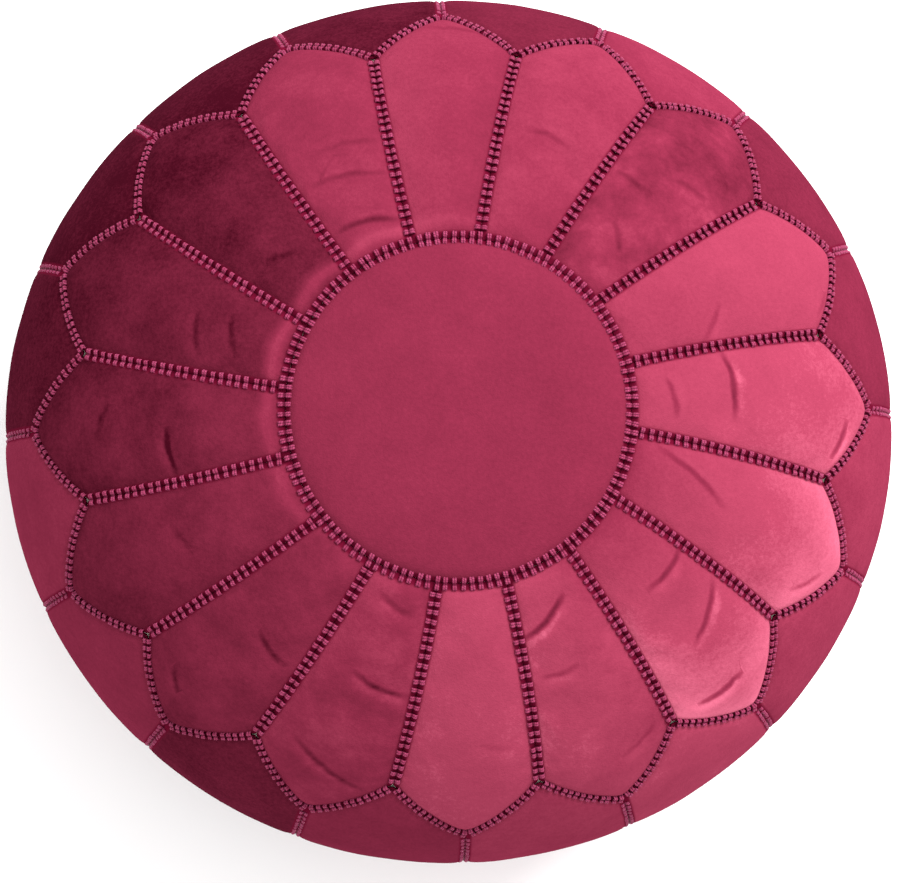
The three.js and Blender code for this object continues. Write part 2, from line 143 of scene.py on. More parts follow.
def outline_points():
    power = 2 / DOME_FULLNESS
    lean = np.linspace(0, math.pi / 2, OUTLINE_STEPS, endpoint=False)
    dome_height = POUF_HEIGHT - WIDEST_HEIGHT
    dome = [POUF_RADIUS * np.sin(lean) ** power, WIDEST_HEIGHT + dome_height * np.cos(lean) ** power]
    foot_share = (FOOT_RADIUS / POUF_RADIUS) ** SKIRT_FULLNESS
    skirt_depth = WIDEST_HEIGHT / (1 - foot_share) ** (1 / SKIRT_FULLNESS)
    height = np.linspace(WIDEST_HEIGHT, FOOT_ROLL_HEIGHT, OUTLINE_STEPS + 1)
    share = (WIDEST_HEIGHT - height) / skirt_depth
    skirt = [POUF_RADIUS * (1 - share**SKIRT_FULLNESS) ** (1 / SKIRT_FULLNESS), height]
    start = np.array([skirt[0][-1], skirt[1][-1]])
    along = start - np.array([skirt[0][-2], skirt[1][-2]])
    corner = start - along * start[1] / along[1]
    end = np.array([corner[0] - np.linalg.norm(corner - start), 0])
    t = np.linspace(0, 1, OUTLINE_STEPS // 8 + 1)[1:, None]
    roll = (1 - t) ** 2 * start + 2 * t * (1 - t) * corner + t**2 * end
    radius = np.concatenate([dome[0], skirt[0], roll[:, 0], [0]])
    height = np.concatenate([dome[1], skirt[1], np.maximum(roll[:, 1], 0), [0]])
    return radius, height


RADII, HEIGHTS = outline_points()
STEPS = np.hypot(np.diff(RADII), np.diff(HEIGHTS))
REACHES = np.concatenate([[0], np.cumsum(STEPS)])
MIDDLES = (REACHES[1:] + REACHES[:-1]) / 2
OUTWARD = -np.diff(HEIGHTS) / STEPS
UPWARD = np.diff(RADII) / STEPS
WHOLE_REACH = REACHES[-1]


def radius_at(reach):
    return np.interp(reach, REACHES, RADII)


def on_cover(angle, reach, rise=0.0):
    """Points of the cover, rise above its outer face."""
    radius = radius_at(reach)
    lean = STUFFING_OVAL / POUF_RADIUS * (radius / POUF_RADIUS) ** 4
    outward = np.interp(reach, MIDDLES, OUTWARD)
    upward = np.interp(reach, MIDDLES, UPWARD)
    radius = np.maximum(radius * (1 + lean * np.cos(2 * angle)) + rise * outward, 0)
    height = np.interp(reach, REACHES, HEIGHTS) + rise * upward
    return np.stack([radius * np.cos(angle), radius * np.sin(angle), height], axis=-1)


print("from the centre of the top to the centre of the base", round(WHOLE_REACH, 4), "m")

# %% [markdown]
# ## The cutting pattern
# The cover is a round medallion, sixteen petals round it, sixteen wall panels whose peaks fit
# between the petals' points, and a base in two halves. Each seam is a line on the cloth. The
# medallion was laced on slightly turned, so the petals' inner ends follow it round a little.

# %% Seams
PETAL_COUNT = 16
MEDALLION_REACH = 99 * MM
PETAL_SIDE = 133 * MM
PETAL_POINT = 40.5 * MM
TIP_ROUNDING = 1.12
BASE_REACH = 186 * MM
FIRST_SEAM = math.radians(12.9)
RING_TWIST = math.radians(2.7)
PITCH = 2 * math.pi / PETAL_COUNT
VALLEY_REACH = MEDALLION_REACH + PETAL_SIDE
TIP_REACH = VALLEY_REACH + PETAL_POINT
BASE_SEAM_REACH = WHOLE_REACH - BASE_REACH
EDGE_SLOPE = PETAL_POINT / (radius_at(VALLEY_REACH) * PITCH / 2)
EDGE_STRETCH = math.hypot(1, EDGE_SLOPE)


def twist_at(reach):
    return RING_TWIST * np.clip((VALLEY_REACH - reach) / PETAL_SIDE, 0, 1)


def zigzag_reach(widths):
    """The reach of the petals' pointed ends. A whole number of widths is at a side seam."""
    from_tip = np.abs(2 * np.mod(widths, 1) - 1)
    return TIP_REACH - PETAL_POINT * from_tip**TIP_ROUNDING


# %% [markdown]
# ## Panels of cloth
# Each panel is a grid cut flat and then laid on the outline. Its rows and columns are closer
# together beside the seams, where the cloth turns down under the lacing, and wide apart in the
# middle. How far a point is from each seam says how deep it is drawn in there, how far the
# stuffing pushes it out, and how much shade is painted there as dark crushed pile.

# %% Cutting and laying a panel
SEAM_HALF_GAP = 0.03 * MM
SEAM_DRAW = 2.5 * MM
SEAM_TURN = 3.2 * MM
CROWN = 3.4 * MM
WALL_CROWN = 0.2 * MM
CROWN_TURN = 15 * MM
SIDE_EASE = 2.4 * MM
EDGE_CROWDING = 0.78
# how soon the painted seam shade of dark crushed pile ends: sooner beside the zigzag, and on the
# medallion's side of its ring
ZIGZAG_SHADE_SCALE, RING_SHADE_SCALE, CENTRE_SHADE_SCALE = 1.45, 0.9, 1.1


def eased(t):
    """0 up to 0, 1 from 1 on, and smooth between."""
    t = np.clip(t, 0, 1)
    return t**2 * (3 - 2 * t)


def crowded(t):
    """Places from 0 to 1, moved closer to both ends."""
    return t - EDGE_CROWDING * np.sin(2 * math.pi * t) / (2 * math.pi)


def cut_cloth(name, columns, rows):
    """A flat grid, and how far across and along the panel each of its points is, from 0 to 1."""
    put_down()
    bpy.ops.mesh.primitive_grid_add(x_subdivisions=columns, y_subdivisions=rows, size=1)
    cloth = bpy.context.object
    cloth.name = cloth.data.name = name
    flat = points_of(cloth) + 0.5
    return cloth, flat[:, 0], 1 - flat[:, 1]


def fullness(gaps, turn):
    """0 on any seam, and 1 away from all of them."""
    share = 1.0
    for gap in gaps:
        share = share * (1 - np.exp(-np.maximum(gap, 0) / turn))
    return share


def wander(points, size, seed):
    """Smooth noise from about -1 to 1 with bumps of about that size."""
    return np.array([noise.noise(Vector(p) / size + Vector((seed, 0, 0))) for p in points])


def petal_pattern(k, across, along):
    start = MEDALLION_REACH + SEAM_HALF_GAP
    end = zigzag_reach(across) - SEAM_HALF_GAP * EDGE_STRETCH
    reach = start + (end - start) * along
    width = PITCH * radius_at(reach)
    margin = SEAM_HALF_GAP / width
    angle = FIRST_SEAM + (k + margin + (1 - 2 * margin) * across) * PITCH + twist_at(reach)
    to_ring = reach - MEDALLION_REACH
    to_edge = (zigzag_reach(across) - reach) / EDGE_STRETCH
    sides = [across * width, (1 - across) * width]
    # the second list holds the distances that the painted seam shade reads
    return angle, reach, [*sides, to_ring, to_edge], [
        *sides, to_ring * RING_SHADE_SCALE, to_edge * ZIGZAG_SHADE_SCALE]


def wall_pattern(k, across, along):
    start = zigzag_reach(across + 0.5) + SEAM_HALF_GAP * EDGE_STRETCH
    end = BASE_SEAM_REACH - SEAM_HALF_GAP
    reach = start + (end - start) * along
    width = PITCH * radius_at(reach)
    margin = SEAM_HALF_GAP / width
    angle = FIRST_SEAM + (k - 0.5 + margin + (1 - 2 * margin) * across) * PITCH
    to_edge = (reach - zigzag_reach(across + 0.5)) / EDGE_STRETCH
    sides = [across * width, (1 - across) * width]
    ends = [BASE_SEAM_REACH - reach, to_edge]
    return (angle, reach, [side + SIDE_EASE for side in sides] + ends,
            [*sides, ends[0], to_edge * ZIGZAG_SHADE_SCALE])


def medallion_pattern(k, across, along):
    reach = along * (MEDALLION_REACH - SEAM_HALF_GAP)
    to_ring = MEDALLION_REACH - reach
    return across * 2 * math.pi, reach, [to_ring], [to_ring * CENTRE_SHADE_SCALE]


# %% [markdown]
# ## Folds
# Stuffed by hand, some panels are tight and others have soft folds. A fold is a narrow hollow,
# with a ridge on its outer side. Each is a line from one place on its petal to another, listed
# where such a cover has them, and a fine unevenness is added everywhere. A fold is narrower
# than the grid, so how far a point is from the line is also kept, for the material to read.

# %% Folds of each petal
# across and along the petal where a fold starts, where it ends, and how deep it is
PETAL_FOLDS = {
    0: [(0.05, 0.28, 0.4, 0.39, 0.3), (0.12, 0.77, 0.3, 0.87, 0.3)],
    1: [(0.92, 0.42, 0.6, 0.41, 0.4), (0.3, 0.17, 0.62, 0.26, 0.4), (0.2, 0.57, 0.5, 0.53, 0.4)],
    2: [(0.78, 0.43, 0.35, 0.41, 0.4)],
    3: [(0.65, 0.9, 0.1, 0.83, 0.25)],
    4: [(0.88, 0.33, 0.08, 0.26, 0.4), (0.86, 0.14, 0.08, 0.09, 0.65), (0.7, 0.43, 0.08, 0.39, 0.25)],
    5: [(0.7, 0.24, 0.35, 0.17, 0.3)],
    6: [(0.4, 0.36, 0.85, 0.3, 0.35), (0.3, 0.24, 0.75, 0.18, 0.35)],
    7: [(0.5, 0.4, 0.95, 0.39, 0.8), (0.3, 0.61, 0.6, 0.67, 0.3)],
    8: [(0.3, 0.46, 0.62, 0.42, 0.3)],
    9: [(0.48, 0.41, 0.88, 0.46, 0.7), (0.26, 0.73, 0.46, 0.83, 0.5)],
    10: [(0.38, 0.36, 0.95, 0.4, 1), (0.22, 0.67, 0.82, 0.8, 0.7), (0.3, 0.08, 0.78, 0.12, 0.5)],
    11: [(0.55, 0.55, 0.85, 0.59, 0.2)],
    12: [(0.02, 0.22, 0.66, 0.12, 1.1), (0.12, 0.36, 0.52, 0.36, 0.5), (0.55, 0.77, 0.9, 0.71, 0.3)],
    13: [(0.98, 0.3, 0.42, 0.29, 0.8), (0.92, 0.46, 0.42, 0.56, 0.8), (0.6, 0.79, 0.2, 0.76, 0.8)],
    14: [(0.85, 0.1, 0.48, 0.38, 0.5), (0.2, 0.75, 0.42, 0.87, 0.3)],
    15: [(0.95, 0.34, 0.3, 0.36, 1), (0.75, 0.12, 0.25, 0.15, 0.5), (0.42, 0.84, 0.14, 0.77, 0.7)],
}
# how far a fold's hollow and ridge move the cloth, and how much of its length it bows outwards
FOLD_HOLLOW = 2.2 * MM
FOLD_RIDGE = 1.9 * MM
FOLD_BOW = 0.05
# in millimetres: widths across a fold, where its ridge runs, and how far off its painted shade and
# highlight still show
HOLLOW_WIDTH, RIDGE_AT, RIDGE_WIDTH, FOLD_WIDTH = 3.2, 6.5, 5, 5.5
FAR_FROM_FOLDS = 50.0
# as shares of a fold's length: how far it runs past its two places, and over what it fades
FOLD_OVERRUN, FOLD_FADE = 0.1, 0.4
UNEVEN_SIZE = 26 * MM
UNEVEN_RISE = 0.55 * MM
PUCKER_SIZE = 9 * MM
PUCKER_RISE = 0.5 * MM
PUCKER_TURN = 9 * MM


def folds_on(folds, across, reach):
    """The rise of the folds, and the depth of the nearest one and how far off it is, in mm."""
    def place(across, reach):
        x = (across - 0.5) * PITCH * radius_at(reach)
        return np.stack([x, reach - MEDALLION_REACH], axis=-1) / MM

    here = place(across, reach)
    rise, depth = np.zeros(len(here)), np.zeros(len(here))
    off_fold = np.full(len(here), FAR_FROM_FOLDS)
    for across_0, along_0, across_1, along_1, deep in folds:
        start, end = (place(a, MEDALLION_REACH + (TIP_REACH - MEDALLION_REACH) * b)
                      for a, b in ((across_0, along_0), (across_1, along_1)))
        length = np.linalg.norm(end - start)
        line = (end - start) / length
        outer = np.array([-line[1], line[0]]) * np.sign(line[0])
        share = (here - start) @ line / length
        off = (here - start) @ outer - FOLD_BOW * length * np.sin(math.pi * np.clip(share, 0, 1))
        from_end = np.minimum(share, 1 - share) + FOLD_OVERRUN
        ends = deep * eased(from_end / FOLD_FADE)
        rise += ends * FOLD_RIDGE * np.exp(-(((off - RIDGE_AT) / RIDGE_WIDTH) ** 2))
        rise -= ends * FOLD_HOLLOW * np.exp(-((off / HOLLOW_WIDTH) ** 2))
        nearer = (np.abs(off) < np.abs(off_fold)) & (ends > 0)
        off_fold[nearer] = off[nearer]
        depth[nearer] = (ends * np.exp(-((off / FOLD_WIDTH) ** 4)))[nearer]
    return rise, depth, off_fold


def lay(cloth, pattern, k, across, along, crown=CROWN, folds=(), seed=0.0):
    """Lays a flat panel on the cover, and notes how far each of its points is from a seam and from
    the painted seam shade.
    """
    angle, reach, gaps, crushed = pattern(k, crowded(across), crowded(along))
    flat = on_cover(angle, reach)
    full = fullness(gaps, CROWN_TURN)
    nearest = np.min(gaps, axis=0)
    pucker = wander(flat, PUCKER_SIZE, seed + 40) * np.exp(-nearest / PUCKER_TURN)
    rise = crown * full - SEAM_DRAW * (1 - fullness(gaps, SEAM_TURN))
    rise += UNEVEN_RISE * wander(flat, UNEVEN_SIZE, seed) * full
    rise += PUCKER_RISE * pucker * fullness(gaps, SEAM_TURN)
    folded, depth, off_fold = folds_on(folds, crowded(across), reach)
    rise += folded * full
    set_points(cloth, on_cover(angle, reach, rise))
    note(cloth, "gap", nearest / MM)
    # how far the painted seam shade beside the lacing reaches
    note(cloth, "crushed", np.min(crushed, axis=0) / MM)
    note(cloth, "along", along)
    note(cloth, "across", across)
    # where the material paints shade in a fold's hollow and a highlight along its ridge
    note(cloth, "fold", depth)
    note(cloth, "off_fold", off_fold)


PETAL_COLUMNS, PETAL_ROWS = 22, 38
WALL_COLUMNS, WALL_ROWS = 22, 50
MEDALLION_COLUMNS, MEDALLION_ROWS = 120, 18


def make_panel(name, columns, rows, pattern, k, **how):
    cloth, across, along = cut_cloth(name, columns, rows)
    lay(cloth, pattern, k, across, along, **how)
    return cloth


petals, walls = [], []
for k in range(PETAL_COUNT):
    name = f"velvet_petal_{k + 1:02d}"
    petals.append(make_panel(name, PETAL_COLUMNS, PETAL_ROWS, petal_pattern, k,
                             folds=PETAL_FOLDS[k], seed=3.0 * k))
for k in range(PETAL_COUNT):
    name = f"velvet_wall_{k + 1:02d}"
    walls.append(make_panel(name, WALL_COLUMNS, WALL_ROWS, wall_pattern, k,
                            crown=WALL_CROWN, seed=70 + 3.0 * k))
medallion = close_up(make_panel("velvet_medallion", MEDALLION_COLUMNS, MEDALLION_ROWS,
                                medallion_pattern, 0, crown=CROWN * 0.6, seed=150))
panels = [medallion, *petals, *walls]
print(len(panels), "panels, with", sum(len(panel.data.vertices) for panel in panels), "points")

# %% [markdown]
# ## Letting the cloth settle
# The panels are stitched down along their seams and filled tight, so a short cloth simulation
# does the rest. All panels are joined into one mesh, pinned along every seam, made slightly
# larger than the room they have, and pushed outwards while gravity is off. No point may move
# further than a cap. Then each panel takes its own points back, is subdivided once, and gets
# the thickness of velvet.

# %% Cloth simulation
SETTLE_FRAMES = 16
SETTLE_CAP = 2.5 * MM
SPARE_CLOTH = 0.006
PINNED_WITHIN = 1.2 * MM
FREE_FROM = 5 * MM
VELVET_THICKNESS = 1.5 * MM


def settle(panels):
    copies = []
    for panel in panels:
        copy = panel.copy()
        copy.data = panel.data.copy()
        bpy.context.scene.collection.objects.link(copy)
        copies.append(copy)
    cover = take_up(*copies)
    bpy.ops.object.join()
    start = points_of(cover)
    gaps = noted(cover, "gap") * MM
    held = np.clip((FREE_FROM - gaps) / (FREE_FROM - PINNED_WITHIN), 0, 1)
    pins = cover.vertex_groups.new(name="pins")
    for i, weight in enumerate(held):
        if weight > 0:
            pins.add([i], float(weight), "REPLACE")
    cloth = cover.modifiers.new("Cloth", "CLOTH")
    settings = cloth.settings
    settings.quality = 4
    settings.mass = 0.25
    settings.tension_stiffness = settings.compression_stiffness = 18
    settings.shear_stiffness = 6
    settings.bending_stiffness = 0.9
    settings.air_damping = 6
    settings.vertex_group_mass = "pins"
    settings.shrink_min = settings.shrink_max = -SPARE_CLOTH
    settings.use_pressure = True
    settings.uniform_pressure_force = 0.6
    settings.effector_weights.gravity = 0
    cloth.collision_settings.use_collision = False
    cloth.point_cache.frame_end = SETTLE_FRAMES
    for frame_number in range(1, SETTLE_FRAMES + 1):
        bpy.context.scene.frame_set(frame_number)
    take_up(cover)
    bpy.ops.object.modifier_apply(modifier=cloth.name)
    moved = points_of(cover) - start
    far = np.linalg.norm(moved, axis=1)
    moved *= np.minimum(1, SETTLE_CAP / np.maximum(far, 1e-9))[:, None]
    first = 0
    for panel in panels:
        count = len(panel.data.vertices)
        set_points(panel, (start + moved)[first : first + count])
        first += count
    bpy.data.objects.remove(cover)
    bpy.context.scene.frame_set(1)
    print("the cloth moved", np.round(np.percentile(far, [50, 90, 99]) * 1000, 2), "mm")


settle(panels)

# %% [markdown]
# ## Notes for the pile
# Velvet looks darker or brighter by the way its pile lies and the way the light falls on it, so
# every panel has its own tone: partly the pile's own tone, partly painted light and shade, paler
# where a panel faces the lamp and darker where it faces away. Beside the lacing, shade is painted
# as pile crushed dark. These are kept as numbers on the mesh's points, where the material reads
# them. The tones follow the way such a cover is cut: each panel's pile runs a little differently.

# %% Tones of the panels
# each panel's tone beside the medallion and at its point, with painted light and shade: the change
# between the two ends is painted shade of the petal's slope towards or away from the lamp
PETAL_TONE_AND_PAINTED_LIGHT = [
    (0.58, 0.74), (0.47, 0.38), (0.48, 0.61), (0.48, 0.56), (0.46, 0.50), (0.22, 0.03),
    (0.30, 0.05), (0.39, 0.06), (0.42, 0.18), (0.45, 0.27), (0.53, 0.48), (0.69, 0.75),
    (0.65, 0.70), (0.42, 1.03), (0.44, 1.0), (0.62, 0.83),
]
PETAL_MOTTLE = [0.1, 1.0, 0.25, 0.15, 0.3, 0.35, 0.3, 0.4, 0.4, 0.5, 0.6, 0.15, 0.35, 0.15, 0.1, 0.1]
# each wall's tone, partly painted light and shade of how the lamp falls on it
WALL_TONE_AND_PAINTED_LIGHT = [0.38, 0.32, 0.52, 0.25, 0.08, 0.02, 0.02, 0.08, 0.51, 0.45, 0.16, 0.40, 0.57, 0.72,
              0.58, 0.56]
MEDALLION_TONE = 0.45
BASE_TONE = 0.35
MEDALLION_MOTTLE, WALL_MOTTLE, BASE_MOTTLE = 0.15, 0.22, 0.5
# some petals have a painted highlight beside the medallion, where the cloth rolls up towards the
# lamp: how much paler, where, and how wide
RING_PAINTED_HIGHLIGHT = {3: 0.1, 4: 0.2, 5: 0.3, 6: 0.3, 7: 0.24, 8: 0.16}
PAINTED_HIGHLIGHT_AT, PAINTED_HIGHLIGHT_WIDTH = 8.5 * MM, 3.5 * MM
# how much paler a petal is along one side seam than along the other
PETAL_TILTS = {1: -0.1, 2: 0.07, 3: 0.25, 5: -0.05, 6: 0.07, 7: 0.1, 10: -0.08, 12: -0.22, 13: -0.22,
               15: -0.1}


def pile(panel, inner, outer, mottle, tilt=0.0, painted_highlight=0.0):
    """Notes a panel's tone with its painted light and shade and painted highlight, from its inner end
    to its outer one, and how cloudy it is.
    """
    from_ring = crowded(noted(panel, "along")) * PETAL_SIDE
    tone = inner + (outer - inner) * noted(panel, "along")
    # a painted highlight where the cloth rolls up beside the medallion towards the lamp
    tone += painted_highlight * np.exp(-(((from_ring - PAINTED_HIGHLIGHT_AT) / PAINTED_HIGHLIGHT_WIDTH) ** 2))
    note(panel, "tone", tone + tilt * (noted(panel, "across") - 0.5))
    note(panel, "mottle", mottle)


pile(medallion, MEDALLION_TONE, MEDALLION_TONE, MEDALLION_MOTTLE)
for k in range(PETAL_COUNT):
    pile(petals[k], *PETAL_TONE_AND_PAINTED_LIGHT[k], PETAL_MOTTLE[k], PETAL_TILTS.get(k, 0),
         RING_PAINTED_HIGHLIGHT.get(k, 0))
    pile(walls[k], WALL_TONE_AND_PAINTED_LIGHT[k], WALL_TONE_AND_PAINTED_LIGHT[k], WALL_MOTTLE)

for panel in panels:
    finish_with(panel, "SUBSURF", levels=1, render_levels=1)
    finish_with(panel, "SOLIDIFY", thickness=VELVET_THICKNESS, offset=-1)
    smooth(panel)
print("a petal has", len(petals[0].data.polygons), "faces")

# %% [markdown]
# ## Lacing
# The panels are joined by hand with a thick glossy thread. It crosses the seam as short rungs,
# each of two strands that stand up beside the seam and are pinched together over it. One rung
# is modelled from two thin rods, and copies of it are laid along each seam with a hand's small
# unevenness.

# %% One rung
STRAND_RADIUS = 0.74 * MM
STRAND_SIDES = 5
STRAND_STEPS = 8
RUNG_HALF_WIDTH = 4.2 * MM
STRAND_APART = 0.70 * MM
STRAND_PINCH = 0.30
PLY_LENGTH = 1.3 * MM
# how far a strand stands out beside the seam, dips over it, and drops into the cloth
STANDS_OUT, SEAM_DIP, END_DROP = 0.95 * MM, 1.0 * MM, 2.2 * MM
# as shares of the half width: where it stands out most, how wide the dip is, where it drops
OUT_AT, DIP_WIDTH, DROP_FROM = 0.52, 0.2, 0.78
OUT_TURN = 2.6


def bend_strand(points):
    """A rod along X from -1 to 1 goes down into the cloth at its ends and dips over the seam."""
    x, y, z = points.T
    over_seam = np.exp(-((x / DIP_WIDTH) ** 2))
    out = STANDS_OUT * np.cos(np.maximum(np.abs(x) - OUT_AT, -0.3) * OUT_TURN)
    drop = END_DROP * np.maximum(np.abs(x) - DROP_FROM, 0) / (1 - DROP_FROM)
    z = z + out - SEAM_DIP * over_seam - drop
    return np.stack([x * RUNG_HALF_WIDTH, y + STRAND_APART * (1 - STRAND_PINCH * over_seam), z],
                    axis=1)


def model_rung():
    put_down()
    bpy.ops.mesh.primitive_cylinder_add(
        vertices=STRAND_SIDES, radius=STRAND_RADIUS, depth=2, rotation=(0, math.pi / 2, 0)
    )
    strand = bpy.context.object
    bpy.ops.object.transform_apply(location=True, rotation=True, scale=True)
    bpy.ops.object.mode_set(mode="EDIT")
    bpy.ops.mesh.select_mode(type="EDGE")
    bpy.ops.mesh.select_all(action="DESELECT")
    bpy.ops.object.mode_set(mode="OBJECT")
    for edge in strand.data.edges:
        a, b = (strand.data.vertices[i].co for i in edge.vertices)
        edge.select = abs(a.x - b.x) > 1
    bpy.ops.object.mode_set(mode="EDIT")
    bpy.ops.mesh.subdivide(number_cuts=STRAND_STEPS - 1)
    bpy.ops.object.mode_set(mode="OBJECT")
    straight = points_of(strand)
    turn = np.arctan2(straight[:, 2], straight[:, 1]) / (2 * math.pi)
    note(strand, "ply", straight[:, 0] * RUNG_HALF_WIDTH / PLY_LENGTH + turn)
    note(strand, "from_seam", np.abs(straight[:, 0]))
    set_points(strand, bend_strand(straight))
    bpy.ops.object.duplicate()
    other = bpy.context.object
    set_points(other, points_of(other) * np.array([-1, -1, 1]))
    rung = take_up(strand, other)
    bpy.ops.object.join()
    rung.name = rung.data.name = "rung"
    return rung


rung = model_rung()
print("a rung has", len(rung.data.polygons), "faces")

# %% [markdown]
# ## Laying the rungs
# Along a seam the rungs are a stitch apart, measured over the cloth. Each one stands square to
# the seam and to the cloth. All rungs of one lacing become one mesh, because hundreds of
# separate objects would be slow to draw.

# %% Stations along a seam, and a lacing
STITCH, RADIAL_STITCH, ZIGZAG_STITCH = 5 * MM, 5.25 * MM, 4.6 * MM
# how much of a seam stays free of rungs at its start and its end
RADIAL_FREE, ZIGZAG_FREE, WALL_FREE = (4.2 * MM, 2 * MM), (1.6 * MM, 0.6 * MM), (5 * MM, 5 * MM)
# how many places a seam's line runs through
RING_PLACES, RADIAL_PLACES, ZIGZAG_PLACES, WALL_PLACES = 480, 60, 40, 80
# the unevenness of a hand: how far a rung leans, sways along the seam, and stands up or sinks
HAND_LEAN, HAND_SWAY, HAND_LIFT = 0.055, 0.22 * MM, 0.08 * MM
hand = random.Random(16)


def stations(angles, reaches, closed=False, stitch=STITCH, trim=(0, 0)):
    """Places a stitch apart on a seam: the point, and the directions across, along and out."""
    line = on_cover(angles, reaches)
    inside = on_cover(angles, reaches, -MM)
    if closed:
        line, inside = (np.vstack([points, points[:1]]) for points in (line, inside))
    steps = np.linalg.norm(np.diff(line, axis=0), axis=1)
    run = np.concatenate([[0], np.cumsum(steps)])
    count = max(1, round((run[-1] - sum(trim)) / stitch))
    at = trim[0] + (np.arange(count) + 0.5) * (run[-1] - sum(trim)) / count

    def place(points, where):
        return np.stack([np.interp(where, run, points[:, i]) for i in range(3)], axis=1)

    middle = place(line, at)
    along = place(line, np.minimum(at + MM, run[-1])) - place(line, np.maximum(at - MM, 0))
    along /= np.linalg.norm(along, axis=1)[:, None]
    out = middle - place(inside, at)
    out /= np.linalg.norm(out, axis=1)[:, None]
    across = np.cross(along, out)
    across /= np.linalg.norm(across, axis=1)[:, None]
    return list(zip(middle, across, np.cross(out, across), out))


def lace(name, runs):
    """One mesh with a rung at every station of each run: (stations, width of a rung, sunk)."""
    model, ply, from_seam = points_of(rung), noted(rung, "ply"), noted(rung, "from_seam")
    faces = [list(face.vertices) for face in rung.data.polygons]
    points, plies, made = [], [], []
    for run, width, sunk in runs:
        for middle, across, along, out in run:
            lean, sway = hand.gauss(0, HAND_LEAN), hand.gauss(0, HAND_SWAY)
            wide, tall = width * hand.uniform(0.93, 1.07), hand.uniform(0.85, 1.12)
            x, y, z = (model * np.array([wide, hand.uniform(0.9, 1.1), tall])).T
            here = middle + along * sway + out * (hand.gauss(0, HAND_LIFT) - sunk)
            turned = np.outer(x, across + along * lean) + np.outer(y, along - across * lean)
            start = len(points) * len(model)
            made.extend([[i + start for i in face] for face in faces])
            points.append(here + turned + np.outer(z, out))
            plies.append(ply + hand.random())
    mesh = bpy.data.meshes.new(name)
    mesh.from_pydata(np.concatenate(points).tolist(), [], made)
    lacing = bpy.data.objects.new(name, mesh)
    bpy.context.scene.collection.objects.link(lacing)
    note(lacing, "ply", np.concatenate(plies))
    note(lacing, "from_seam", np.tile(from_seam, len(points)))
    print(name, len(points), "rungs,", len(made), "faces")
    return smooth(lacing)


around = np.linspace(0, 2 * math.pi, RING_PLACES, endpoint=False)
ring = stations(around, np.full_like(around, MEDALLION_REACH), closed=True)
base_ring = stations(around, np.full_like(around, BASE_SEAM_REACH), closed=True)
radials, zigzag, verticals = [], [], []
for k in range(PETAL_COUNT):
    reach = np.linspace(MEDALLION_REACH, VALLEY_REACH, RADIAL_PLACES)
    seam = FIRST_SEAM + k * PITCH + twist_at(reach)
    radials += stations(seam, reach, trim=RADIAL_FREE, stitch=RADIAL_STITCH)
    across, tip = np.linspace(0, 1, ZIGZAG_PLACES), ZIGZAG_PLACES // 2
    for side, free in ((across[: tip + 1], ZIGZAG_FREE), (across[tip:], ZIGZAG_FREE[::-1])):
        zigzag += stations(FIRST_SEAM + (k + side) * PITCH, zigzag_reach(side), trim=free,
                           stitch=ZIGZAG_STITCH)
    reach = np.linspace(TIP_REACH, BASE_SEAM_REACH, WALL_PLACES)
    seam = np.full_like(reach, FIRST_SEAM + (k + 0.5) * PITCH)
    verticals += stations(seam, reach, trim=WALL_FREE)
medallion_lacing = lace("lacing_of_medallion", [(ring, 1.1, 0.4 * MM)])
petal_lacing = lace("lacing_of_petals", [(radials, 0.9, 0.4 * MM), (zigzag, 0.63, 0.4 * MM)])
wall_lacing = lace("lacing_of_walls", [(verticals, 0.8, 1.3 * MM), (base_ring, 0.9, 1.4 * MM)])
bpy.data.objects.remove(rung)

# %% [markdown]
# ## Base
# The pouf stands on two half discs of the same velvet. They are sewn to each other outside the
# zip, and along the zip each is folded up and inwards to a hem that the tape is sewn to. A half
# disc is cut as a grid whose columns run from the rim to the straight edge, and its last rows
# make the hem.

# %% Base halves
TAPE_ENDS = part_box("zip_tape_front")[1].x + 0.3 * MM
HEM_FOLD = 10.8 * MM
HEM_ROUNDING = 1.2 * MM
MIDDLE_GAP = 0.15 * MM
# how far inwards of the fold, and how far up, each row of the hem is, in millimetres
HEM_ROWS = ((-0.35, 0.35), (0, 1.2), (0, 5.7), (0.35, 6.55), (1.2, 6.9), (4.2, 6.9))
# the opening runs a little past the tape, and closes over its last stretch
OPENING_SPARE = 2.5 * MM
OPENING_END = 7 * MM
BASE_COLUMNS, BASE_ROWS = 72, 40
ROW_CROWDING = 0.33
INSIDE_RIM = 0.9999


